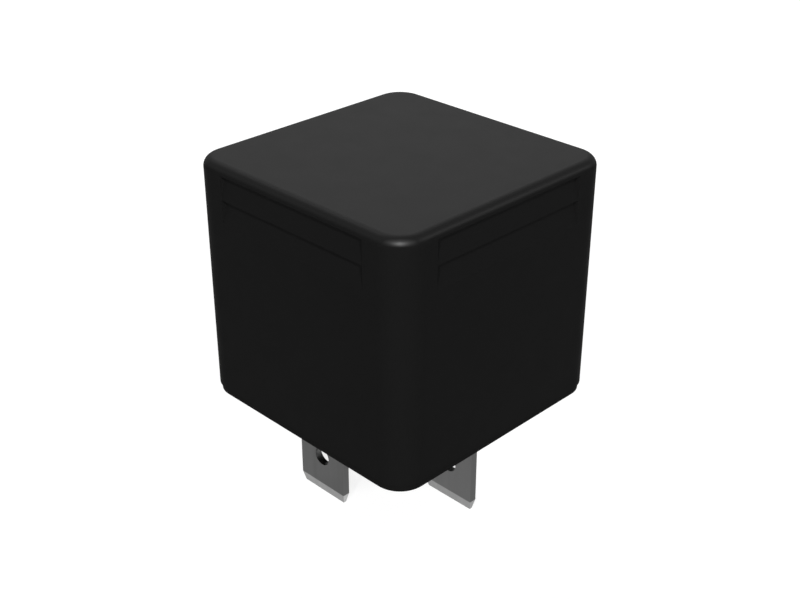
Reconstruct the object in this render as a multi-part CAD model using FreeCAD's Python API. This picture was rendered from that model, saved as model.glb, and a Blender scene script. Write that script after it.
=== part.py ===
import FreeCAD, Part
import math
import os

# Plug-in relay of the 28 mm cube kind, with a changeover contact and five blades.
# Millimetres and degrees. Z points up, out of the blades towards the cover's roof.
# The origin is the middle of the base's underside, the face that meets a socket.
# Closed means that the coil holds the armature down. The pieces are exported at rest, open.

# Cover: a shell open at the bottom, with a stepped grip in each of its four sides
cover_width = 28.0
cover_top = 25.5
cover_wall = 1.0
cover_roof = 1.2
cover_corner = 3.0
cover_top_edge = 1.0
cavity_top_edge = 0.6
rim_lead_in = 0.3
grip_length = 19.0
grip_depth = 0.5
grip_step = 2.43
grip_steps = 2
grip_drop = 0.9
grip_end_draft = 20.0

# Base: a flange under the cover's rim, and a plug inside the cover
flange_height = 0.8
flange_inset = 0.2
flange_edge = 0.05
plug_height = 2.2
plug_gap = 0.15
crush_rib_radius = 0.5
crush_rib_gap = 0.02
crush_rib_spacing = 17.0
slot_recess = 0.3
core_out_depth = 1.2
core_out_corner = 1.0
core_out_wall = 1.4
cheek_height = 1.0
cheek_width = 0.8
cheek_length = 8.0
cheek_gap = 0.05
heel_height = 3.0
heel_depth = 1.1

# Blades: stamped tabs with a hole, a bevelled tip and narrowed corners
blade_width = 6.3
blade_thickness = 0.8
blade_length = 10.5
blade_hole_radius = 1.0
blade_hole_from_tip = 4.5
tip_length = 1.12
tip_narrowing = 0.25
tip_thickness = 0.3
blade_shoulder_depth = 0.8
strip_bend = 0.8

# Footprint: coil blades 85 and 86 face each other across Y, the others stand along X
coil_blade_x = -2.55
coil_blade_pitch = 16.8
common_blade_x = 7.35
open_blade_x = -10.55
closed_blade_x = -2.55
coil_tail_width = 1.3
coil_tail_height = 5.4

# Yoke: bent steel strip, its foot on the base and its back near the cover's wall
yoke_thickness = 1.6
yoke_width = 13.0
yoke_bend = 1.2
yoke_corner = 1.0
back_space = 1.2
foot_margin = 1.6
ear_height = 1.2
ear_width = 1.3
tenon_width = 3.2

# Coil: core, bobbin, winding and its two leads
core_radius = 2.8
core_rivet_radius = 2.2
core_countersink = 0.5
pole_radius = 4.5
pole_thickness = 1.6
pole_edge = 0.3
bobbin_gap = 0.05
bobbin_tube = 0.75
bobbin_flange_width = 15.0
bobbin_flange_corner = 2.5
bobbin_lower_flange = 1.0
bobbin_upper_flange = 1.2
bobbin_side_gap = 0.4
winding_radius = 6.8
wire_diameter = 0.25
wire_turns_on_tail = 3
wrap_edge_share = 0.25
solder_height = 1.2
solder_thickness = 0.4

# Armature and leaf spring: the armature turns about its rear lower edge on the yoke's top
armature_thickness = 1.5
armature_width = 12.0
armature_corner = 1.5
armature_overhang = 1.1
armature_lift = 2.5
armature_ear_gap = 0.1
pivot_inset = 0.9
seat_gap = 0.03
spring_thickness = 0.3
spring_width = 7.6
spring_bend = 0.9
spring_tongue_width = 4.4
spring_tongue_roundness = 0.95
spring_window_width = 3.6
spring_window_corner = 0.9
spring_window_reach = 2.0
spring_leg_length = 10.0
stud_radius = 0.7
stud_head_radius = 1.2
stud_head_height = 0.45
stud_dimple_depth = 0.6
stud_spacing = 5.2
stud_gap = 0.03
armature_stud_reach = 6.5
yoke_stud_drop = 6.6

# Contacts: silver alloy rivets, the moving one crowned round a flat on both faces
contact_reach = 2.75
contact_gap = 0.03
contact_shank_radius = 0.9
contact_tail_radius = 1.25
contact_tail_height = 0.35
contact_edge = 0.2
open_contact_radius = 1.7
open_contact_height = 0.8
closed_contact_radius = 1.5
closed_contact_height = 0.7
moving_lower_height = 0.9
moving_upper_height = 0.7
contact_crown = 0.2
contact_flat = 0.9
open_carrier_width = 5.2
carrier_corner = 1.0
carrier_margin = 0.2
arm_width = 3.2
arm_riser_y = 7.4
arm_sink = 0.3
roof_gap = 0.8

# Working values: nearness that counts as touching, how far an edge may lean and still count
# as being along an axis, how far a cutter reaches past what it cuts, and how far the grip's
# cutters do, as a share of its depth and of one step
touch = 0.001
axis_lean = 8.0
along_axis = math.cos(math.radians(axis_lean))
overcut = 1.0
grip_overshoot = 0.5

# Heights, from the seating face up
base_top = flange_height + plug_height
foot_top = base_top + yoke_thickness
blade_tip = -blade_length
shoulder_z = base_top - blade_shoulder_depth
cavity_top = cover_top - cover_roof
arm_z = cavity_top - roof_gap - blade_thickness / 2
closed_face = arm_z - blade_thickness / 2 - closed_contact_height

# The grip on the side that faces -Y: its floor, the outside of its cutters, half its length
# at both, its top, and the cutters' height
grip_floor = -cover_width / 2 + grip_depth
grip_outside = grip_floor - (1 + grip_overshoot) * grip_depth
grip_slant = math.tan(math.radians(grip_end_draft))
grip_floor_half = grip_length / 2 - grip_depth * grip_slant
grip_outside_half = grip_floor_half + (grip_floor - grip_outside) * grip_slant
grip_top = cover_top - grip_drop
grip_height = (grip_steps + grip_overshoot) * grip_step

# Places across the relay
cavity_half = cover_width / 2 - cover_wall
yoke_back = cavity_half - back_space
yoke_face = yoke_back - yoke_thickness
pivot_x = yoke_back - pivot_inset
core_x = yoke_face - bobbin_side_gap - bobbin_flange_width / 2
foot_end = core_x - core_rivet_radius - foot_margin
contact_x = open_blade_x + contact_reach

# The open armature's upper contact stops just short of the normally closed contact.
# That sets the height of the pivot and of the yoke.
lift = math.radians(armature_lift)
upper_apex = armature_thickness + spring_thickness + moving_upper_height
apex_rise = (pivot_x - contact_x + contact_flat) * math.sin(lift)
apex_rise += upper_apex * math.cos(lift)
pivot_z = closed_face - contact_gap - apex_rise
yoke_top = pivot_z - seat_gap
bobbin_top = yoke_top - pole_thickness
spring_z = pivot_z + armature_thickness + spring_thickness / 2
open_face = pivot_z + armature_thickness - moving_lower_height - contact_gap
open_carrier_z = open_face - open_contact_height - blade_thickness / 2

# The coil's leads leave the winding just above the lower flange
wire_radius = wire_diameter / 2
winding_bottom = foot_top + bobbin_lower_flange
lead_z = winding_bottom + wire_diameter
coil_tail_y = coil_blade_pitch / 2

V = FreeCAD.Vector
up = V(0, 0, 1)
pivot = V(pivot_x, 0, pivot_z)


def rounded_block(centre_x, centre_y, width_x, width_y, corner, low, high):
    """Upright block with rounded vertical edges."""
    block = Part.makeBox(width_x, width_y, high - low)
    block.translate(V(centre_x - width_x / 2, centre_y - width_y / 2, low))
    upright = [e for e in block.Edges if abs(e.tangentAt(e.FirstParameter).z) > along_axis]
    return block.makeFillet(corner, upright)


def box(x_low, x_high, y_low, y_high, z_low, z_high):
    """Box between two corners."""
    return Part.makeBox(
        x_high - x_low, y_high - y_low, z_high - z_low, V(x_low, y_low, z_low)
    )


def prism(points, along):
    """Polygon through the points, drawn out by the vector along."""
    outline = Part.makePolygon(points + [points[0]])
    return Part.Face(outline).extrude(along)


def turned(profile, x, y):
    """Solid of revolution about the vertical through x, y, from (radius, z) points."""
    points = [V(r, 0, z) for r, z in profile]
    face = Part.Face(Part.makePolygon(points + [points[0]]))
    solid = face.revolve(V(0, 0, 0), up, 360)
    solid.translate(V(x, y, 0))
    return solid


def sheet_normal(direction):
    """Direction turned a quarter turn in the XZ plane."""
    return V(-direction.z, 0, direction.x)


def sheet_side(points, bend, offset):
    """Edges along one side of a bent strip, offset from its middle line."""
    first = (points[1] - points[0]).normalize()
    here = points[0] + sheet_normal(first) * offset
    edges = []
    for before, corner, after in zip(points, points[1:], points[2:]):
        into = (corner - before).normalize()
        out = (after - corner).normalize()
        side = math.copysign(1, sheet_normal(into).dot(out))
        reach = bend * math.tan(into.getAngle(out) / 2)
        centre = corner - into * reach + sheet_normal(into) * side * bend
        radius = bend - side * offset
        start = corner - into * reach + sheet_normal(into) * offset
        middle = centre + (corner - centre).normalize() * radius
        end = corner + out * reach + sheet_normal(out) * offset
        edges.append(Part.LineSegment(here, start).toShape())
        edges.append(Part.Arc(start, middle, end).toShape())
        here = end
    last = (points[-1] - points[-2]).normalize()
    tip = points[-1] + sheet_normal(last) * offset
    edges.append(Part.LineSegment(here, tip).toShape())
    return edges, points[0] + sheet_normal(first) * offset, tip


def bent_strip(path, bend, thickness, width):
    """Strip bent along a path of (x, z) points, its width centred on the XZ plane."""
    points = [V(x, -width / 2, z) for x, z in path]
    left, left_start, left_end = sheet_side(points, bend, thickness / 2)
    right, right_start, right_end = sheet_side(points, bend, -thickness / 2)
    ends = [
        Part.LineSegment(left_start, right_start).toShape(),
        Part.LineSegment(left_end, right_end).toShape(),
    ]
    outline = Part.Wire(Part.__sortEdges__(left + right + ends))
    return Part.Face(outline).extrude(V(0, width, 0))


def fillet_where(shape, radius, wanted):
    """The shape with each edge rounded whose middle point and direction are wanted."""
    edges = []
    for edge in shape.Edges:
        middle = (edge.FirstParameter + edge.LastParameter) / 2
        if wanted(edge.valueAt(middle), edge.tangentAt(middle)):
            edges.append(edge)
    return shape.makeFillet(radius, edges)


def chamfer_where(shape, size, wanted):
    """The shape with a chamfer on each edge whose bounding box is wanted."""
    return shape.makeChamfer(size, [e for e in shape.Edges if wanted(e.BoundBox)])


def to_rest(shape):
    """The closed armature's piece, lifted about the pivot to where it rests."""
    shape.rotate(pivot, V(0, 1, 0), armature_lift)
    return shape


def write(name, shape):
    shape.exportStep("parts/" + name + ".step")


def grip_cutters():
    """Saw-tooth steps with drafted ends, each deepest at its top, for the side that faces -Y."""
    bottom = grip_top - grip_height
    ends = prism(
        [
            V(-grip_floor_half, grip_floor, bottom),
            V(grip_floor_half, grip_floor, bottom),
            V(grip_outside_half, grip_outside, bottom),
            V(-grip_outside_half, grip_outside, bottom),
        ],
        V(0, 0, grip_height),
    )
    cutters = []
    for step in range(grip_steps):
        ledge = grip_top - step * grip_step
        tooth = [
            V(-grip_length, grip_floor, ledge),
            V(-grip_length, grip_outside, ledge),
            V(-grip_length, grip_outside, ledge - (1 + grip_overshoot) * grip_step),
        ]
        cutters.append(prism(tooth, V(2 * grip_length, 0, 0)).common(ends))
    return cutters


def make_cover():
    outer = rounded_block(0, 0, cover_width, cover_width, cover_corner, flange_height, cover_top)
    outer = fillet_where(outer, cover_top_edge, lambda p, t: p.z > cover_top - touch)
    cavity_width = 2 * cavity_half
    cavity_corner = cover_corner - cover_wall
    cavity = rounded_block(0, 0, cavity_width, cavity_width, cavity_corner, 0, cavity_top)
    cavity = chamfer_where(cavity, cavity_top_edge, lambda box: box.ZMin > cavity_top - touch)
    shell = outer.cut(cavity)
    inside = cavity_half + cover_wall / 2
    shell = chamfer_where(
        shell,
        rim_lead_in,
        lambda box: box.ZMax < flange_height + touch
        and max(box.XMax, box.YMax, -box.XMin, -box.YMin) < inside,
    )
    for quarter in range(4):
        for cutter in grip_cutters():
            cutter.rotate(V(0, 0, 0), up, 90 * quarter)
            shell = shell.cut(cutter)
    return shell


def blade(root):
    """Blade from its tip up to root, its width along X, standing on the vertical through 0, 0."""
    half = blade_width / 2
    bevel_top = blade_tip + tip_length
    front = prism(
        [
            V(-half, -blade_thickness / 2, root),
            V(-half, -blade_thickness / 2, bevel_top),
            V(-half + tip_narrowing, -blade_thickness / 2, blade_tip),
            V(half - tip_narrowing, -blade_thickness / 2, blade_tip),
            V(half, -blade_thickness / 2, bevel_top),
            V(half, -blade_thickness / 2, root),
        ],
        V(0, blade_thickness, 0),
    )
    side = prism(
        [
            V(-half, -blade_thickness / 2, root),
            V(-half, -blade_thickness / 2, bevel_top),
            V(-half, -tip_thickness / 2, blade_tip),
            V(-half, tip_thickness / 2, blade_tip),
            V(-half, blade_thickness / 2, bevel_top),
            V(-half, blade_thickness / 2, root),
        ],
        V(blade_width, 0, 0),
    )
    hole = Part.makeCylinder(
        blade_hole_radius,
        2 * blade_thickness,
        V(0, -blade_thickness, blade_tip + blade_hole_from_tip),
        V(0, 1, 0),
    )
    return front.common(side).cut(hole)


def blade_across(root, x):
    """Blade with its width along Y, at x."""
    piece = blade(root)
    piece.rotate(V(0, 0, 0), up, 90)
    piece.translate(V(x, 0, 0))
    return piece


def make_coil_terminal(side):
    """Terminal 85 or 86: a blade with a narrow tail that carries the coil's lead."""
    half = coil_tail_width / 2
    tail = box(
        -half,
        half,
        -blade_thickness / 2,
        blade_thickness / 2,
        shoulder_z,
        base_top + coil_tail_height,
    )
    piece = blade(shoulder_z).fuse(tail).removeSplitter()
    piece.translate(V(coil_blade_x, side * coil_tail_y, 0))
    return piece


def make_common_terminal():
    """Terminal 30: a blade whose shoulders carry the yoke's foot, with a tenon through it."""
    tenon = box(
        -tenon_width / 2,
        tenon_width / 2,
        -blade_thickness / 2,
        blade_thickness / 2,
        base_top,
        foot_top,
    )
    piece = blade(base_top).fuse(tenon).removeSplitter()
    piece.translate(V(common_blade_x, 0, 0))
    return piece


def contact_hole(x, z):
    """Cylinder through a carrier at height z, for a contact's shank."""
    return Part.makeCylinder(
        contact_shank_radius, 2 * blade_thickness, V(x, 0, z - blade_thickness), up
    )


def make_open_terminal():
    """Terminal 87: straight up from its blade, then bent over under the moving contact."""
    end = contact_x + open_contact_radius + carrier_margin
    path = [
        (open_blade_x, shoulder_z),
        (open_blade_x, open_carrier_z),
        (end, open_carrier_z),
    ]
    carrier = bent_strip(path, strip_bend, blade_thickness, open_carrier_width)
    carrier = fillet_where(
        carrier, carrier_corner, lambda p, t: p.x > end - touch and abs(t.z) > along_axis
    )
    piece = blade_across(shoulder_z, open_blade_x).fuse(carrier).removeSplitter()
    return piece.cut(contact_hole(contact_x, open_carrier_z))


def make_closed_terminal():
    """Terminal 87a: along the base, up beside the armature, and back over the moving contact."""
    strip_z = base_top - arm_sink + blade_thickness / 2
    root = base_top - strip_bend - blade_thickness
    strip = bent_strip(
        [
            (closed_blade_x, root),
            (closed_blade_x, strip_z),
            (contact_x - arm_width / 2, strip_z),
        ],
        strip_bend,
        blade_thickness,
        blade_width,
    )
    tip = -closed_contact_radius - carrier_margin
    arm = bent_strip(
        [(0, strip_z), (arm_riser_y, strip_z), (arm_riser_y, arm_z), (tip, arm_z)],
        strip_bend,
        blade_thickness,
        arm_width,
    )
    arm = fillet_where(
        arm,
        carrier_corner,
        lambda p, t: p.x < tip + touch and abs(t.z) > along_axis,
    )
    arm.rotate(V(0, 0, 0), up, 90)
    arm.translate(V(contact_x, 0, 0))
    piece = blade_across(root, closed_blade_x).fuse([strip, arm]).removeSplitter()
    return piece.cut(contact_hole(contact_x, arm_z))


def make_fixed_contact(radius, height, carrier_z, facing):
    """Contact rivet in a carrier, its flat face towards facing: 1 is up, -1 is down."""
    near = facing * blade_thickness / 2
    face = near + facing * height
    far = -near
    tail = far - facing * contact_tail_height
    soft = facing * contact_edge
    profile = [
        (0, carrier_z + face),
        (radius - contact_edge, carrier_z + face),
        (radius, carrier_z + face - soft),
        (radius, carrier_z + near),
        (contact_shank_radius, carrier_z + near),
        (contact_shank_radius, carrier_z + far),
        (contact_tail_radius, carrier_z + far),
        (contact_tail_radius - contact_edge, carrier_z + tail),
        (0, carrier_z + tail),
    ]
    return turned(profile, contact_x, 0)


def make_moving_contact():
    """Rivet in the leaf spring, crowned round a flat above and below."""
    under = pivot_z + armature_thickness
    over = under + spring_thickness
    low = under - moving_lower_height
    high = over + moving_upper_height
    profile = [
        (0, low),
        (contact_flat, low),
        (open_contact_radius, low + contact_crown),
        (open_contact_radius, under),
        (contact_shank_radius, under),
        (contact_shank_radius, over),
        (closed_contact_radius, over),
        (closed_contact_radius, high - contact_crown),
        (contact_flat, high),
        (0, high),
    ]
    return to_rest(turned(profile, contact_x, 0))


def peened_stud(foot, direction, length):
    """Stud from foot along direction, with a peened head past its length."""
    shank = Part.makeCylinder(stud_radius, length, foot, direction)
    head_foot = foot + direction * length
    head = Part.makeCone(
        stud_head_radius,
        stud_head_radius - stud_head_height / 2,
        stud_head_height,
        head_foot,
        direction,
    )
    return shank.fuse(head)


def stud_places():
    """Where the armature's studs stand across Y, and the yoke's."""
    return [-stud_spacing / 2, stud_spacing / 2]


def make_armature():
    """Flat plate, narrowed at the rear between the yoke's ears, with two peened studs."""
    front = core_x - pole_radius - armature_overhang
    half = armature_width / 2
    rear_half = yoke_width / 2 - ear_width - armature_ear_gap
    notch = yoke_face - armature_ear_gap
    plate = prism(
        [
            V(front, -half, pivot_z),
            V(notch, -half, pivot_z),
            V(notch, -rear_half, pivot_z),
            V(pivot_x, -rear_half, pivot_z),
            V(pivot_x, rear_half, pivot_z),
            V(notch, rear_half, pivot_z),
            V(notch, half, pivot_z),
            V(front, half, pivot_z),
        ],
        V(0, 0, armature_thickness),
    )
    plate = fillet_where(
        plate, armature_corner, lambda p, t: p.x < front + touch and abs(t.z) > along_axis
    )
    stud_x = pivot_x - armature_stud_reach
    for y in stud_places():
        foot = V(stud_x, y, pivot_z + armature_thickness)
        plate = plate.fuse(peened_stud(foot, up, spring_thickness))
        dimple = Part.makeCylinder(stud_radius, stud_dimple_depth, V(stud_x, y, pivot_z), up)
        plate = plate.cut(dimple)
    return to_rest(plate)


def spring_path():
    """Middle line of the leaf spring at rest: along the armature, then down the yoke's back."""
    front = to_rest(Part.Vertex(contact_x - spring_tongue_width / 2, 0, spring_z)).Point
    leg_x = yoke_back + spring_thickness / 2
    slope = -math.tan(lift)
    start = V(pivot_x, 0, spring_z)
    rear = to_rest(Part.Vertex(start)).Point
    corner_z = rear.z + slope * (leg_x - rear.x)
    leg_end = corner_z - spring_leg_length
    return [(front.x, front.z), (leg_x, corner_z), (leg_x, leg_end)]


def tongue_cutters(front):
    """What is trimmed from each side of the leaf spring's front to leave a tapered tongue."""
    half = spring_width / 2
    tongue = spring_tongue_width / 2
    taper_start = core_x - pole_radius
    taper_end = contact_x + spring_tongue_width / 2
    low = pivot_z
    deep = V(0, 0, 2 * armature_thickness + ear_height)
    cutters = []
    for side in (-1, 1):
        points = [
            V(taper_start, side * (half + overcut), low),
            V(taper_start, side * half, low),
            V(taper_end, side * tongue, low),
            V(front - overcut, side * tongue, low),
            V(front - overcut, side * (half + overcut), low),
        ]
        cutters.append(prism(points, deep))
    return cutters


def make_contact_spring():
    """Leaf spring: a tapered tongue, two straps round the hinge and a leg down the yoke."""
    path = spring_path()
    strip = bent_strip(path, spring_bend, spring_thickness, spring_width)
    front = path[0][0]
    for cutter in tongue_cutters(front):
        strip = strip.cut(cutter)
    strip = fillet_where(
        strip,
        spring_tongue_roundness * spring_tongue_width / 2,
        lambda p, t: p.x < front + spring_thickness and abs(t.z) > along_axis,
    )
    leg_end = path[2][1]
    strip = fillet_where(
        strip, carrier_corner, lambda p, t: p.z < leg_end + touch and abs(t.x) > along_axis
    )
    window = rounded_block(
        yoke_back,
        0,
        2 * (spring_window_reach + pivot_inset),
        spring_window_width,
        spring_window_corner,
        yoke_top - spring_window_reach,
        cavity_top,
    )
    strip = strip.cut(window)
    for y in stud_places():
        top_hole = Part.makeCylinder(
            stud_radius,
            2 * armature_thickness,
            V(pivot_x - armature_stud_reach, y, pivot_z),
            up,
        )
        leg_hole = Part.makeCylinder(
            stud_radius + stud_gap,
            back_space,
            V(yoke_back, y, yoke_top - yoke_stud_drop),
            V(1, 0, 0),
        )
        strip = strip.cut([to_rest(top_hole), leg_hole])
    shank = Part.makeCylinder(
        contact_shank_radius, 2 * armature_thickness, V(contact_x, 0, pivot_z), up
    )
    return strip.cut(to_rest(shank))


def make_yoke():
    """Bent strip: a foot with the core's hole and a slot, a back, and two ears on its top."""
    foot_z = base_top + yoke_thickness / 2
    back_x = yoke_back - yoke_thickness / 2
    path = [(foot_end, foot_z), (back_x, foot_z), (back_x, yoke_top)]
    piece = bent_strip(path, yoke_bend, yoke_thickness, yoke_width)
    piece = fillet_where(
        piece, yoke_corner, lambda p, t: p.x < foot_end + touch and abs(t.z) > along_axis
    )
    half = yoke_width / 2
    for y in (-half, half - ear_width):
        ear = box(yoke_face, yoke_back, y, y + ear_width, yoke_top, yoke_top + ear_height)
        piece = piece.fuse(ear)
    piece = piece.removeSplitter()
    piece = piece.cut(core_hole())
    slot = box(
        common_blade_x - tenon_width / 2,
        common_blade_x + tenon_width / 2,
        -blade_thickness / 2,
        blade_thickness / 2,
        base_top,
        foot_top,
    )
    piece = piece.cut(slot)
    for y in stud_places():
        stud_z = yoke_top - yoke_stud_drop
        foot = V(yoke_back, y, stud_z)
        piece = piece.fuse(peened_stud(foot, V(1, 0, 0), spring_thickness))
        dimple = Part.makeCylinder(
            stud_radius, stud_dimple_depth, V(yoke_face, y, stud_z), V(1, 0, 0)
        )
        piece = piece.cut(dimple)
    return piece


def core_foot_profile():
    """Outline of the core's riveted end, which fills the hole and countersink in the foot."""
    return [
        (0, base_top),
        (core_rivet_radius + core_countersink, base_top),
        (core_rivet_radius, base_top + core_countersink),
        (core_rivet_radius, foot_top),
    ]


def core_hole():
    return turned(core_foot_profile() + [(0, foot_top)], core_x, 0)


def make_core():
    """Turned core: riveted end, shank, and a pole face with a softened edge."""
    profile = core_foot_profile() + [
        (core_radius, foot_top),
        (core_radius, bobbin_top),
        (pole_radius, bobbin_top),
        (pole_radius, yoke_top - pole_edge),
        (pole_radius - pole_edge, yoke_top),
        (0, yoke_top),
    ]
    return turned(profile, core_x, 0)


def make_bobbin():
    """Spool with a square flange at each end, bored for the core."""
    tube = Part.makeCylinder(
        core_radius + bobbin_gap + bobbin_tube,
        bobbin_top - foot_top,
        V(core_x, 0, foot_top),
        up,
    )
    width = bobbin_flange_width
    lower = rounded_block(core_x, 0, width, width, bobbin_flange_corner, foot_top, winding_bottom)
    winding_top = bobbin_top - bobbin_upper_flange
    upper = rounded_block(core_x, 0, width, width, bobbin_flange_corner, winding_top, bobbin_top)
    bore = Part.makeCylinder(
        core_radius + bobbin_gap, bobbin_top - foot_top, V(core_x, 0, foot_top), up
    )
    return tube.fuse([lower, upper]).removeSplitter().cut(bore)


def make_winding():
    tube_radius = core_radius + bobbin_gap + bobbin_tube
    height = bobbin_top - bobbin_upper_flange - winding_bottom
    foot = V(core_x, 0, winding_bottom)
    outer = Part.makeCylinder(winding_radius, height, foot, up)
    inner = Part.makeCylinder(tube_radius, height, foot, up)
    return outer.cut(inner)


def around_tail(reach, low, high, side):
    """Block with chamfered edges round a coil terminal's tail, reach beyond each of its faces."""
    half_x = coil_tail_width / 2 + reach
    half_y = blade_thickness / 2 + reach
    y = side * coil_tail_y
    block = box(coil_blade_x - half_x, coil_blade_x + half_x, y - half_y, y + half_y, low, high)
    return block.makeChamfer(wrap_edge_share * reach, block.Edges)


def make_lead(side, terminal):
    """Wire from the winding's side to a tail, and its turns round that tail."""
    end = V(coil_blade_x + coil_tail_width / 2 + wire_radius, side * coil_tail_y, lead_z)
    axis = V(core_x, 0, lead_z)
    away = end - axis
    reach = winding_radius + wire_radius
    bearing = math.atan2(away.y, away.x)
    swing = math.acos(reach / away.Length)
    start = axis + V(math.cos(bearing + side * swing), math.sin(bearing + side * swing), 0) * reach
    run = Part.makeCylinder(wire_radius, (end - start).Length, start, end - start)
    low = lead_z - wire_radius
    turns = []
    for turn in range(wire_turns_on_tail):
        foot = low + turn * wire_diameter
        turns.append(around_tail(wire_diameter, foot, foot + wire_diameter, side))
    return run.fuse(turns).removeSplitter().cut(terminal)


def make_solder(side, terminal):
    """Collar of solder round a tail, on top of the wire's turns."""
    low = lead_z + wire_turns_on_tail * wire_diameter - wire_radius
    return around_tail(solder_thickness, low, low + solder_height, side).cut(terminal)


def crush_ribs():
    """Upright half-round ribs on the plug's four sides that grip the cover."""
    crest = cavity_half - crush_rib_gap
    ribs = []
    for quarter in range(4):
        for along in (-crush_rib_spacing / 2, crush_rib_spacing / 2):
            rib = Part.makeCylinder(
                crush_rib_radius,
                base_top - flange_height,
                V(along, -crest + crush_rib_radius, flange_height),
                up,
            )
            rib.rotate(V(0, 0, 0), up, 90 * quarter)
            ribs.append(rib)
    return ribs


def slot_recesses():
    """Shallow recess round each blade in the base's underside."""
    long = blade_width / 2 + slot_recess
    short = blade_thickness / 2 + slot_recess
    along_x = [
        (coil_blade_x, -coil_tail_y),
        (coil_blade_x, coil_tail_y),
        (common_blade_x, 0),
    ]
    recesses = [box(x - long, x + long, y - short, y + short, 0, slot_recess) for x, y in along_x]
    for x in (open_blade_x, closed_blade_x):
        recesses.append(box(x - short, x + short, -long, long, 0, slot_recess))
    return recesses


def core_outs():
    """Shallow pockets in the underside that keep the moulding's wall even."""
    edge = cavity_half - core_out_wall
    common_side = blade_thickness / 2 + core_out_wall
    coil_side = coil_blade_x + blade_width / 2 + core_out_wall
    open_side = blade_width / 2 + core_out_wall
    coil_far = coil_blade_x - blade_width / 2 - core_out_wall
    pockets = []
    for side in (-1, 1):
        front_y = side * (common_side + edge) / 2
        back_y = side * (open_side + edge) / 2
        pockets.append(
            rounded_block(
                (coil_side + edge) / 2,
                front_y,
                edge - coil_side,
                edge - common_side,
                core_out_corner,
                0,
                core_out_depth,
            )
        )
        pockets.append(
            rounded_block(
                (coil_far - edge) / 2,
                back_y,
                edge + coil_far,
                edge - open_side,
                core_out_corner,
                0,
                core_out_depth,
            )
        )
    return pockets


def make_base(inserts):
    """Flange, plug, cheeks beside the yoke's foot and a heel behind blade 87."""
    flange_width = cover_width - 2 * flange_inset
    flange = rounded_block(
        0, 0, flange_width, flange_width, cover_corner - flange_inset, 0, flange_height
    )
    flange = chamfer_where(flange, flange_edge, lambda box: box.ZMax < touch)
    plug_width = 2 * (cavity_half - plug_gap)
    plug_corner = cover_corner - cover_wall - plug_gap
    plug = rounded_block(0, 0, plug_width, plug_width, plug_corner, flange_height, base_top)
    cheek_inner = yoke_width / 2 + cheek_gap
    extras = crush_ribs()
    for side in (-1, 1):
        near = side * cheek_inner
        far = side * (cheek_inner + cheek_width)
        extras.append(
            box(
                core_x - cheek_length / 2,
                core_x + cheek_length / 2,
                min(near, far),
                max(near, far),
                base_top,
                base_top + cheek_height,
            )
        )
    heel_face = open_blade_x - blade_thickness / 2
    half = open_carrier_width / 2
    extras.append(
        box(heel_face - heel_depth, heel_face, -half, half, base_top, base_top + heel_height)
    )
    piece = flange.fuse([plug] + extras).removeSplitter()
    piece = piece.cut(slot_recesses() + core_outs())
    return piece.cut(inserts)


def main():
    os.makedirs("parts", exist_ok=True)
    terminal_85 = make_coil_terminal(-1)
    terminal_86 = make_coil_terminal(1)
    terminal_30 = make_common_terminal()
    terminal_87 = make_open_terminal()
    terminal_87a = make_closed_terminal()
    terminals = [terminal_85, terminal_86, terminal_30, terminal_87, terminal_87a]
    pieces = {
        "cover": make_cover(),
        "base": make_base(terminals),
        "terminal_85": terminal_85,
        "terminal_86": terminal_86,
        "terminal_30": terminal_30,
        "terminal_87": terminal_87,
        "terminal_87a": terminal_87a,
        "contact_no": make_fixed_contact(
            open_contact_radius, open_contact_height, open_carrier_z, 1
        ),
        "contact_nc": make_fixed_contact(
            closed_contact_radius, closed_contact_height, arm_z, -1
        ),
        "moving_contact": make_moving_contact(),
        "contact_spring": make_contact_spring(),
        "armature": make_armature(),
        "yoke": make_yoke(),
        "core": make_core(),
        "bobbin": make_bobbin(),
        "coil_winding": make_winding(),
        "coil_lead_85": make_lead(-1, terminal_85),
        "coil_lead_86": make_lead(1, terminal_86),
        "solder_85": make_solder(-1, terminal_85),
        "solder_86": make_solder(1, terminal_86),
    }
    for name, shape in pieces.items():
        write(name, shape)


main()
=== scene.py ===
import math

import bmesh
import bpy
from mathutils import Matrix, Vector


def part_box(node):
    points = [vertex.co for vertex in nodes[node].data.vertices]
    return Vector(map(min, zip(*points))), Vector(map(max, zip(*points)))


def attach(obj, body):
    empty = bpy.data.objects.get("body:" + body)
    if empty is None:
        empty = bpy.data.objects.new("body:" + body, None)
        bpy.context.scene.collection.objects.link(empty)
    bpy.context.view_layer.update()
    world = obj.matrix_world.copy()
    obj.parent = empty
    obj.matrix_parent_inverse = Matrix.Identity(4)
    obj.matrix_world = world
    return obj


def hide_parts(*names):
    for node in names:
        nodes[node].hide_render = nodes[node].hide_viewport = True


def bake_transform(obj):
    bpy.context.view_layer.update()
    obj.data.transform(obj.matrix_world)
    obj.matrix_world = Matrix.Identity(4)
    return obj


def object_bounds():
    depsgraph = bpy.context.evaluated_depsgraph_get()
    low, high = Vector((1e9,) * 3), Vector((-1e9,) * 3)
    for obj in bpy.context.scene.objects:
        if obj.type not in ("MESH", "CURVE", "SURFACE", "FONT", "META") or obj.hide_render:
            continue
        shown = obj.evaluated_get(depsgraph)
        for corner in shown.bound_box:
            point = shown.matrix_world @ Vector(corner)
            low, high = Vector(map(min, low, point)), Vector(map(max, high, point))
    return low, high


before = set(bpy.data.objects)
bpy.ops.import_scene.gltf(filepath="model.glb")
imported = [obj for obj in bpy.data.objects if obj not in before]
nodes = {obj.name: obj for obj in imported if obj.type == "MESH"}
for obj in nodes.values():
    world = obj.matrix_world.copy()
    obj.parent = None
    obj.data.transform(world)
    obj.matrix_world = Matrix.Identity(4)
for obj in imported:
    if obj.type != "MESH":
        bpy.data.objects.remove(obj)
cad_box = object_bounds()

# Lengths are in metres, angles in degrees. Azimuth 0 looks at the side that faces -Y, and 90
# at the side that faces +X.
MM = 0.001
SAME_PLACE = 0.002 * MM

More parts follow.
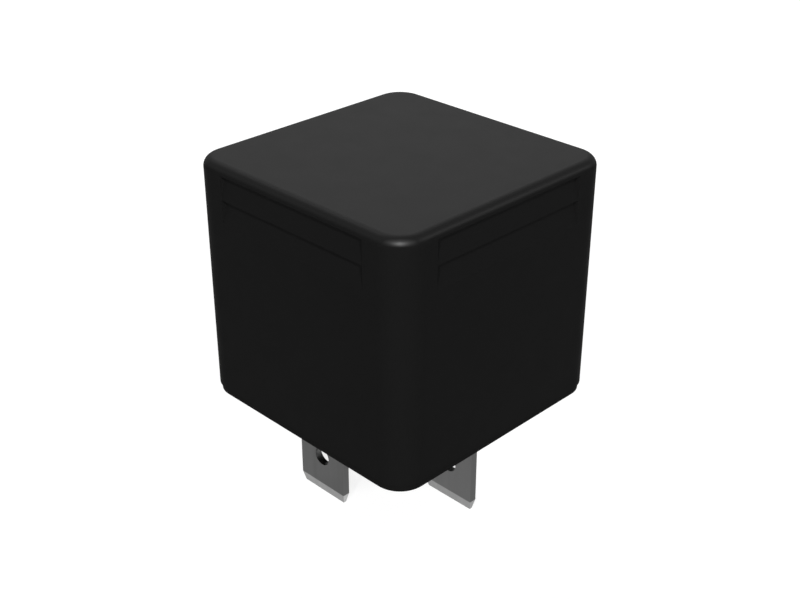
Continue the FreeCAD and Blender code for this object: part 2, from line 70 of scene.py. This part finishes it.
# Camera, from the vanishing lines and outline of the photograph. Lens and sensor are in mm.
CAMERA_LENS = 56.68
CAMERA_SENSOR = 36.0
CAMERA_AZIMUTH = 45.0
CAMERA_ELEVATION = 28.457
CAMERA_DISTANCE = 125.9 * MM
CAMERA_TARGET = Vector((0, 0, 9.9 * MM))
CAMERA_NEAREST = 1.0 * MM
CAMERA_FARTHEST = 20.0

# Lamps: name, azimuth, elevation, side, power in watts, and what they show in. The matte ones
# set the tones of the flat sides, the others the sheen of the roof, its edge and its corner.
LAMP_DISTANCE = 0.6
LAMPS = (
    ("front_left", 29.5, 33, 0.04, 1.69, "matte"),
    ("front_right", 61.5, 33, 0.04, 1.69, "matte"),
    ("key", 44.5, 38, 0.08, 2.0, "gloss"),
    ("behind", 225, 44, 0.4, 1.0, "gloss"),
    ("back", 225, 30, 0.05, 2.6, "matte"),
    ("rim", 134, 27, 0.08, 1.6, "gloss"),
    ("side", 266, 51, 0.1, 0.64, "gloss"),
    ("rim_left", 316, 27, 0.08, 0.3, "gloss"),
)

# Room and floor. The floor's own glow, where it is looked at, grows from near the relay
# outwards, so that it keeps the relay's shadow and meets the white of the room.
ROOM_LIGHT = 0.05
FLOOR_SIZE = 6.0
FLOOR_COLOUR = 0.25
FLOOR_ROUGHNESS = 0.9
FLOOR_GLOW = 0.86
FAR_GLOW = 1.0
FLOOR_NEAR = 80.0 * MM
FLOOR_FAR = 300.0 * MM

# Surfaces. A noise is its features per metre and its detail, and its values lie mostly
# between NOISE_LOW and NOISE_HIGH. gloss_range is how far the roughness goes up and down.
PLASTIC = {
    "colour": (180, 3),
    "gloss": (420, 4),
    "gloss_range": 0.04,
    "grain": (9000, 1),
    "grain_strength": 0.5,
    "grain_height": 0.004 * MM,
}
METAL = {
    "colour": (900, 4),
    "gloss": (1500, 3),
    "gloss_range": 0.07,
    "grain": (4200, 2),
    "grain_strength": 0.4,
    "grain_height": 0.003 * MM,
}
NOISE_LOW, NOISE_HIGH = 0.3, 0.7

# How a pattern is drawn out by rolling: it has this share of its features along X, Y and Z
EVEN = (1, 1, 1)
ROLLED_PLATE = (0.1, 1, 1)
ROLLED_SPRING = (0.08, 1, 1)
ROLLED_BLADE = (1, 1, 0.08)

# Gloss of the cover's roof and its rounded edge: coat weights by the share of the edge's
# height, all round and where the near corner is rubbed. The rubbing grows between two
# distances from both middle planes.
COAT_ROUGHNESS = 0.45
ROOF_EDGE_LOW = 24.5 * MM
ROOF_EDGE_HIGH = 25.5 * MM
ROOF_GLOSS = (
    (0.0, 0.0), (0.34, 0.0), (0.5, 0.05), (0.643, 0.087), (0.766, 0.09), (0.866, 0.087),
    (0.94, 0.1), (0.985, 0.115), (1.0, 0.14),
)
RUBBED_BAND = ((0.28, 0.0), (0.57, 1.0), (0.62, 1.0), (0.92, 0.0))
RUBBED_FROM = 11.6 * MM
RUBBED_TO = 13.0 * MM

# Blades: where the bevel at each tip sets in and is full, the painted reflection that brightens
# it, and how squarely a face looks along the blade's narrow axis where it counts as a stamped
# edge, which takes a painted tone of light and shade
TIP_STARTS = -9.41 * MM
TIP_IS_FULL = -9.44 * MM
TIP_PAINTED_REFLECTION = 0.25
STAMPED_FROM, STAMPED_TO = 0.6, 0.8

# Winding: round wire outside, and a plain sleeve for the layers below. UNEVENNESS is how far
# the wire strays, as the product of two waves with this many periods a turn.
WIRE_DIAMETER = 0.25 * MM
WIRE_RADIUS = WIRE_DIAMETER / 2
WINDING_SIDES = 6
WINDING_STEPS = 72
UNEVENNESS = 0.03 * MM
QUICK_WAVE, SLOW_WAVE, SLOW_WAVE_START = 0.37, 0.113, 1.0
SLEEVE_INSET = 0.2 * MM
BOBBIN_TUBE_RADIUS = 3.6 * MM

# Leads, from the winding to the tails of blades 85 and 86. A lead lies on the winding for
# LEAD_ARC before it leaves, and WRAP_STEPS points make a quarter turn round a tail. The
# tails are mirror images, and TAIL_Y is the place of the one of blade 86.
WIRE_SIDES = 8
LEAD_ARC = 18.0
WRAP_TURNS = 3
WRAP_STEPS = 5
TAIL_X = -2.55 * MM
TAIL_Y = 8.4 * MM
TAIL_HALF_X = 0.65 * MM
TAIL_HALF_Y = 0.4 * MM

# Solder round a tail: shares of its height, and how far it reaches there, in mm
SOLDER_SHAPE = (
    (0.0, 0.2), (0.05, 0.3), (0.18, 0.37), (0.4, 0.4), (0.62, 0.34), (0.8, 0.22), (0.93, 0.1),
    (1.0, 0.03),
)

# Leaf spring: where it leaves the yoke's back, and where it lies on the armature
SPRING_LEAVES = Vector((11.95, 0, 16.6)) * MM
SPRING_LANDS = Vector((8.9, 0, 20.2)) * MM
SPRING_CUTS = 16


def grey(level):
    return level, level, level


def new_material(name):
    """Node material, with its tree and its Principled shader."""
    material = bpy.data.materials.new(name)
    material.use_nodes = True
    tree = material.node_tree
    return material, tree, tree.nodes["Principled BSDF"]


def fill(tree, socket, value):
    """Links an output to a socket, or sets the socket to a number or colour."""
    if isinstance(value, bpy.types.NodeSocket):
        tree.links.new(value, socket)
    else:
        socket.default_value = value


def remap(tree, value, start, end, low=0.0, high=1.0):
    """Takes value from start and end to low and high, and holds it there outside them."""
    node = tree.nodes.new("ShaderNodeMapRange")
    names = ("Value", "From Min", "From Max", "To Min", "To Max")
    for name, setting in zip(names, (value, start, end, low, high)):
        fill(tree, node.inputs[name], setting)
    return node.outputs["Result"]


def combine(tree, operation, *values):
    """Math node on outputs and numbers."""
    node = tree.nodes.new("ShaderNodeMath")
    node.operation = operation
    for socket, value in zip(node.inputs, values):
        fill(tree, socket, value)
    return node.outputs["Value"]


def mix(tree, share, first, second):
    """Colour from first to second, by share."""
    node = tree.nodes.new("ShaderNodeMix")
    node.data_type = "RGBA"
    for name, value in (("Factor", share), ("A", first), ("B", second)):
        fill(tree, node.inputs[name], value)
    return node.outputs["Result"]


def ramp(tree, value, stops):
    """Level that follows (position, level) stops, with position from 0 to 1."""
    node = tree.nodes.new("ShaderNodeValToRGB")
    elements = node.color_ramp.elements
    while len(elements) < len(stops):
        elements.new(0.5)  # anywhere: the loop below moves it
    for element, (position, level) in zip(elements, stops):
        element.position = position
        element.color = (*grey(level), 1)
    tree.links.new(value, node.inputs["Fac"])
    return node.outputs["Color"]


def place(tree):
    """The point in the object's own coordinates."""
    return tree.nodes.new("ShaderNodeTexCoord").outputs["Object"]


def split(tree, vector):
    """X, Y and Z of a vector."""
    node = tree.nodes.new("ShaderNodeSeparateXYZ")
    tree.links.new(vector, node.inputs["Vector"])
    return node.outputs


def noise(tree, pattern, stretch):
    """Noise of (features per metre, detail) in object coordinates."""
    scale, detail = pattern
    mapping = tree.nodes.new("ShaderNodeMapping")
    mapping.inputs["Scale"].default_value = stretch
    node = tree.nodes.new("ShaderNodeTexNoise")
    node.inputs["Scale"].default_value = scale
    node.inputs["Detail"].default_value = detail
    tree.links.new(place(tree), mapping.inputs["Vector"])
    tree.links.new(mapping.outputs["Vector"], node.inputs["Vector"])
    return node.outputs["Fac"]


def texture(tree, shader, surface, dark, light, roughness, stretch=EVEN):
    """Gives the shader an uneven gloss and a fine grain, and returns an uneven colour."""
    gloss = remap(
        tree,
        noise(tree, surface["gloss"], stretch),
        NOISE_LOW,
        NOISE_HIGH,
        roughness - surface["gloss_range"],
        roughness + surface["gloss_range"],
    )
    tree.links.new(gloss, shader.inputs["Roughness"])
    bump = tree.nodes.new("ShaderNodeBump")
    bump.inputs["Strength"].default_value = surface["grain_strength"]
    bump.inputs["Distance"].default_value = surface["grain_height"]
    tree.links.new(noise(tree, surface["grain"], stretch), bump.inputs["Height"])
    tree.links.new(bump.outputs["Normal"], shader.inputs["Normal"])
    return mix(tree, noise(tree, surface["colour"], stretch), (*dark, 1), (*light, 1))


def polish(tree):
    """Gloss of the cover: the roof is smoother, and its edge is rubbed at the near corner."""
    x, y, z = split(tree, place(tree))
    climb = remap(tree, z, ROOF_EDGE_LOW, ROOF_EDGE_HIGH)
    roof = ramp(tree, climb, ROOF_GLOSS)
    rubbed = ramp(tree, climb, RUBBED_BAND)
    nearer = combine(tree, "MINIMUM", x, combine(tree, "MULTIPLY", y, -1))
    corner = remap(tree, nearer, RUBBED_FROM, RUBBED_TO)
    return combine(tree, "MAXIMUM", roof, combine(tree, "MULTIPLY", rubbed, corner))


def moulded_plastic(name, dark, light, roughness, specular, polished=False):
    """Satin plastic: a fine moulded grain, with faint unevenness in colour and gloss."""
    material, tree, shader = new_material(name)
    shader.inputs["Specular IOR Level"].default_value = specular
    colour = texture(tree, shader, PLASTIC, dark, light, roughness)
    tree.links.new(colour, shader.inputs["Base Color"])
    if polished:
        shader.inputs["Coat Roughness"].default_value = COAT_ROUGHNESS
        tree.links.new(polish(tree), shader.inputs["Coat Weight"])
    return material


def painted_blade_light(tree, colour, narrow_axis, painted_edge_tone, painted_tip_side_highlight):
    """The colour, with painted light and shade on a blade's stamped edges and a painted
    reflection that brightens the bevels at its tip.
    """
    tip = remap(tree, split(tree, place(tree))["Z"], TIP_STARTS, TIP_IS_FULL)
    normal = tree.nodes.new("ShaderNodeNewGeometry").outputs["True Normal"]
    squareness = combine(tree, "ABSOLUTE", split(tree, normal)[narrow_axis])
    stamped = remap(tree, squareness, STAMPED_FROM, STAMPED_TO)
    tip_side = combine(tree, "MULTIPLY", tip, stamped)
    # Painted light: the tones of the stamped edges, the reflection on the tip and the highlight
    # on its sides
    for share, shade in ((stamped, painted_edge_tone), (tip, TIP_PAINTED_REFLECTION), (tip_side, painted_tip_side_highlight)):
        colour = mix(tree, share, colour, (*grey(shade), 1))
    return colour


def rolled_metal(name, dark, light, roughness, stretch=EVEN, blade=None):
    """Rolled sheet: streaks along the rolling direction in colour, gloss and height.
    blade holds a blade's narrow axis, the painted tone of its edges and the painted highlight on
    its tip's sides."""
    material, tree, shader = new_material(name)
    shader.inputs["Metallic"].default_value = 1.0
    colour = texture(tree, shader, METAL, dark, light, roughness, stretch)
    if blade:
        colour = painted_blade_light(tree, colour, *blade)
    tree.links.new(colour, shader.inputs["Base Color"])
    return material


def paint(mesh, material):
    """Gives a mesh this one material."""
    mesh.materials.clear()
    mesh.materials.append(material)


def dress(material, *names):
    """Gives CAD nodes this material."""
    for name in names:
        paint(nodes[name].data, material)


def dress_plastic():
    cover = moulded_plastic(
        "cover_satin", grey(0.0106), grey(0.0114), roughness=0.55, specular=0.006, polished=True
    )
    base = moulded_plastic(
        "base_satin", grey(0.0095), grey(0.011), roughness=0.55, specular=0.006
    )
    nylon = moulded_plastic(
        "bobbin_nylon", (0.5, 0.47, 0.38), (0.58, 0.55, 0.46), roughness=0.45, specular=0.4
    )
    dress(cover, "cover")
    dress(base, "base")
    dress(nylon, "bobbin")


def dress_metal():
    # Blades 85, 86, 30, 87 and 87a share one tin plating, painted as lit and shaded copies:
    # darker on 85 and 86, lighter on 30 and between the two on 87 and 87a. Each also gets
    # painted edge tones and tip highlights.
    coil_tin_painted_dark = rolled_metal(
        "coil_tin_painted_dark", grey(0.079), grey(0.089), 0.38, ROLLED_BLADE, blade=("X", 0.104, 0.44)
    )
    common_tin_painted_light = rolled_metal(
        "common_tin_painted_light", grey(0.109), grey(0.123), 0.38, ROLLED_BLADE, blade=("X", 0.08, 0.27)
    )
    contact_tin_painted_mid = rolled_metal(
        "contact_tin_painted_mid", grey(0.095), grey(0.107), 0.38, ROLLED_BLADE, blade=("Y", 0.09, 0.35)
    )
    steel = rolled_metal("zinc_plate", (0.42, 0.42, 0.41), (0.52, 0.52, 0.5), 0.35, ROLLED_PLATE)
    silver = rolled_metal("silver_alloy", (0.7, 0.69, 0.66), (0.82, 0.81, 0.79), 0.3)
    dress(coil_tin_painted_dark, "terminal_85", "terminal_86")
    dress(common_tin_painted_light, "terminal_30")
    dress(contact_tin_painted_mid, "terminal_87", "terminal_87a")
    dress(steel, "yoke", "core", "armature")
    dress(silver, "contact_no", "contact_nc", "moving_contact")


def add_object(name, data):
    """New object with this data, in the scene."""
    added = bpy.data.objects.new(name, data)
    bpy.context.collection.objects.link(added)
    return added


def fixed_piece(name, points, faces, material, node):
    """Smooth piece on the base that replaces a CAD node, which it hides."""
    mesh = bpy.data.meshes.new(name)
    mesh.from_pydata([tuple(point) for point in points], [], faces)
    mesh.validate()
    for polygon in mesh.polygons:
        polygon.use_smooth = True
    paint(mesh, material)
    piece = add_object(name, mesh)
    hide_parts(node)
    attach(piece, "base")
    return piece


def merge_points(mesh):
    """Joins points at the same place, and drops the faces that this leaves without area."""
    work = bmesh.new()
    work.from_mesh(mesh)
    bmesh.ops.remove_doubles(work, verts=work.verts[:], dist=SAME_PLACE)
    work.to_mesh(mesh)
    work.free()


def box_corners(node):
    """Lowest and highest corner of a CAD node's box."""
    low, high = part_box(node)
    return Vector(low), Vector(high)


def around(axis, reach, angle, height):
    """Point at a distance and an angle, in radians, round an upright axis."""
    return Vector((axis.x + reach * math.cos(angle), axis.y + reach * math.sin(angle), height))


def ring_faces(rings, count, closed):
    """Faces between rings of count points each; closed joins the last ring to the first."""
    faces = []
    for ring in range(rings if closed else rings - 1):
        low, high = ring * count, (ring + 1) % rings * count
        for index in range(count):
            beside = (index + 1) % count
            faces.append((low + index, low + beside, high + beside, high + index))
    return faces


def tube(path, radius, sides):
    """Points and faces of a round wire along a path, closed at both ends."""
    points = []
    heading = (path[1] - path[0]).normalized()
    across = heading.orthogonal().normalized()
    for index, centre in enumerate(path):
        before = path[max(index - 1, 0)]
        after = path[min(index + 1, len(path) - 1)]
        turned = (after - before).normalized()
        across = (heading.rotation_difference(turned) @ across).normalized()
        heading = turned
        up = heading.cross(across)
        for side in range(sides):
            angle = math.tau * side / sides
            points.append(centre + (across * math.cos(angle) + up * math.sin(angle)) * radius)
    faces = ring_faces(len(path), sides, closed=False)
    faces.append(tuple(reversed(range(sides))))
    faces.append(tuple(range(len(points) - sides, len(points))))
    return points, faces


def make_winding(material):
    """Outer layer of wire as a helix between the bobbin's flanges, over the layers below."""
    low, high = box_corners("coil_winding")
    axis = Vector(((low.x + high.x) / 2, 0, 0))
    radius = (high.x - low.x) / 2 - WIRE_RADIUS - UNEVENNESS
    climb = high.z - low.z - WIRE_DIAMETER
    count = math.floor(climb / WIRE_DIAMETER) * WINDING_STEPS
    path = []
    for step in range(count + 1):
        angle = math.tau * step / WINDING_STEPS
        stray = math.sin(angle * QUICK_WAVE) * math.sin(angle * SLOW_WAVE + SLOW_WAVE_START)
        height = low.z + WIRE_RADIUS + climb * step / count
        path.append(around(axis, radius + UNEVENNESS * stray, angle, height))
    points, faces = tube(path, WIRE_RADIUS, WINDING_SIDES)
    start = len(points)
    outside = radius + WIRE_RADIUS - SLEEVE_INSET
    rings = (
        (BOBBIN_TUBE_RADIUS, low.z),
        (outside, low.z),
        (outside, high.z),
        (BOBBIN_TUBE_RADIUS, high.z),
    )
    for reach, height in rings:
        for step in range(WINDING_STEPS):
            points.append(around(axis, reach, math.tau * step / WINDING_STEPS, height))
    for face in ring_faces(len(rings), WINDING_STEPS, closed=True):
        faces.append(tuple(index + start for index in face))
    fixed_piece("winding_wire", points, faces, material, "coil_winding")


def tail_corner(quarter, side=1):
    """Corner of a tail, counted in quarter turns from the one at +X and +Y. side is 1 for
    blade 86 and -1 for blade 85."""
    sign_x, sign_y = ((1, 1), (-1, 1), (-1, -1), (1, -1))[quarter % 4]
    return Vector((TAIL_X + sign_x * TAIL_HALF_X, side * TAIL_Y + sign_y * TAIL_HALF_Y, 0))


def lead_path(side):
    """Middle line of a lead: off the winding's side, straight to the tail, and round it."""
    low, high = box_corners("coil_winding")
    axis = Vector(((low.x + high.x) / 2, 0, low.z + WIRE_DIAMETER))
    reach = (high.x - low.x) / 2 + WIRE_RADIUS
    end = Vector((TAIL_X + TAIL_HALF_X + WIRE_RADIUS, TAIL_Y, axis.z))
    away = end - axis
    leaves = math.degrees(math.atan2(away.y, away.x) + math.acos(reach / away.length))
    path = []
    for step in range(WRAP_STEPS + 1):
        left = 1 - step / WRAP_STEPS
        angle = math.radians(leaves + LEAD_ARC * left)
        path.append(around(axis, reach - WIRE_DIAMETER * left**2, angle, axis.z))
    for quarter in range(-1, 4 * WRAP_TURNS - 1):
        for step in range(WRAP_STEPS):
            turn = quarter + step / (WRAP_STEPS - 1)
            if turn >= 0:
                height = axis.z + WIRE_DIAMETER * turn / 4
                path.append(
                    around(tail_corner(quarter), WIRE_RADIUS, turn * math.pi / 2, height)
                )
    return [Vector((point.x, side * point.y, point.z)) for point in path]


def make_lead(name, node, side, material):
    points, faces = tube(lead_path(side), WIRE_RADIUS, WIRE_SIDES)
    fixed_piece(name, points, faces, material, node)


def make_solder(name, node, side, material):
    """Collar of solder round a tail, swollen low down and thin at its top."""
    low, high = box_corners(node)
    rings = [(reach * MM, low.z + share * (high.z - low.z)) for share, reach in SOLDER_SHAPE]
    rings += [(0.0, high.z), (0.0, low.z)]  # back down along the tail itself
    points = []
    for reach, height in rings:
        for quarter in range(4):
            for step in range(WRAP_STEPS):
                angle = (quarter + step / (WRAP_STEPS - 1)) * math.pi / 2
                points.append(around(tail_corner(quarter, side), reach, angle, height))
    faces = ring_faces(len(rings), 4 * WRAP_STEPS, closed=True)
    piece = fixed_piece(name, points, faces, material, node)
    merge_points(piece.data)


def make_leaf_spring(material):
    """The leaf spring, cut across where it goes from the yoke's back to the armature."""
    mesh = nodes["contact_spring"].data.copy()
    along = SPRING_LANDS - SPRING_LEAVES
    work = bmesh.new()
    work.from_mesh(mesh)
    for cut in range(SPRING_CUTS + 1):
        bmesh.ops.bisect_plane(
            work,
            geom=work.verts[:] + work.edges[:] + work.faces[:],
            dist=SAME_PLACE,
            plane_co=SPRING_LEAVES + along * cut / SPRING_CUTS,
            plane_no=along,
        )
    work.to_mesh(mesh)
    work.free()
    paint(mesh, material)
    piece = add_object("leaf_spring", mesh)
    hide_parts("contact_spring")
    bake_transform(piece)


def make_pieces():
    """The pieces that are finer than their CAD nodes, and the leaf spring cut across its span.
    """
    bronze = rolled_metal(
        "spring_bronze", (0.55, 0.3, 0.14), (0.7, 0.4, 0.2), 0.28, ROLLED_SPRING
    )
    copper = rolled_metal("enamelled_copper", (0.42, 0.11, 0.03), (0.58, 0.18, 0.06), 0.25)
    solder = rolled_metal("solder", grey(0.5), grey(0.62), 0.25)
    make_leaf_spring(bronze)
    make_winding(copper)
    make_lead("lead_wire_85", "coil_lead_85", -1, copper)
    make_lead("lead_wire_86", "coil_lead_86", 1, copper)
    make_solder("solder_bead_85", "solder_85", -1, solder)
    make_solder("solder_bead_86", "solder_86", 1, solder)


def seen_directly(tree):
    """1 for rays that show the background: from the camera, off gloss or through glass."""
    path = tree.nodes.new("ShaderNodeLightPath")
    total = path.outputs["Is Camera Ray"]
    for output in ("Is Glossy Ray", "Is Transmission Ray"):
        total = combine(tree, "MAXIMUM", total, path.outputs[output])
    return total


def make_floor(level):
    """Pale floor that keeps the shadow, lifted to white where it is looked at."""
    bpy.ops.mesh.primitive_plane_add(size=FLOOR_SIZE, location=(0, 0, level))
    floor = bpy.context.object
    floor.name = "floor"
    material, tree, shader = new_material("pale_floor")
    shader.inputs["Base Color"].default_value = (*grey(FLOOR_COLOUR), 1)
    shader.inputs["Roughness"].default_value = FLOOR_ROUGHNESS
    shader.inputs["Specular IOR Level"].default_value = 0.0
    reach = tree.nodes.new("ShaderNodeVectorMath")
    reach.operation = "LENGTH"
    tree.links.new(place(tree), reach.inputs[0])
    fade = remap(tree, reach.outputs["Value"], FLOOR_NEAR, FLOOR_FAR, FLOOR_GLOW, FAR_GLOW)
    glow = combine(tree, "MULTIPLY", seen_directly(tree), fade)
    shader.inputs["Emission Color"].default_value = (1, 1, 1, 1)
    tree.links.new(glow, shader.inputs["Emission Strength"])
    paint(floor.data, material)


def make_room():
    """World: white where it is looked at, and a soft even light otherwise."""
    world = bpy.data.worlds.new("room")
    bpy.context.scene.world = world
    world.use_nodes = True
    tree = world.node_tree
    background = tree.nodes["Background"]
    background.inputs["Color"].default_value = (1, 1, 1, 1)
    strength = remap(tree, seen_directly(tree), 0.0, 1.0, ROOM_LIGHT, 1.0)
    tree.links.new(strength, background.inputs["Strength"])


def aim(name, data, azimuth, elevation, distance):
    """Lamp or camera that looks at the middle of the relay from a direction."""
    turn, rise = math.radians(azimuth), math.radians(elevation)
    away = Vector(
        (math.sin(turn) * math.cos(rise), -math.cos(turn) * math.cos(rise), math.sin(rise))
    )
    aimed = add_object(name, data)
    aimed.location = CAMERA_TARGET + away * distance
    aimed.rotation_euler = away.to_track_quat("Z", "Y").to_euler()
    return aimed


def make_lights():
    for name, azimuth, elevation, side, power, shows_in in LAMPS:
        data = bpy.data.lights.new(name, "AREA")
        data.shape = "SQUARE"
        data.size = side
        data.energy = power
        lamp = aim(name, data, azimuth, elevation, LAMP_DISTANCE)
        lamp.visible_diffuse = shows_in == "matte"
        lamp.visible_glossy = shows_in == "gloss"


def make_camera():
    data = bpy.data.cameras.new("camera")
    data.lens = CAMERA_LENS
    data.sensor_width = CAMERA_SENSOR
    data.clip_start = CAMERA_NEAREST
    data.clip_end = CAMERA_FARTHEST
    camera = aim("camera", data, CAMERA_AZIMUTH, CAMERA_ELEVATION, CAMERA_DISTANCE)
    bpy.context.scene.camera = camera


bpy.context.scene.view_settings.view_transform = "Standard"
make_camera()
make_room()
make_floor(cad_box[0][2])
make_lights()
dress_plastic()
dress_metal()
make_pieces()
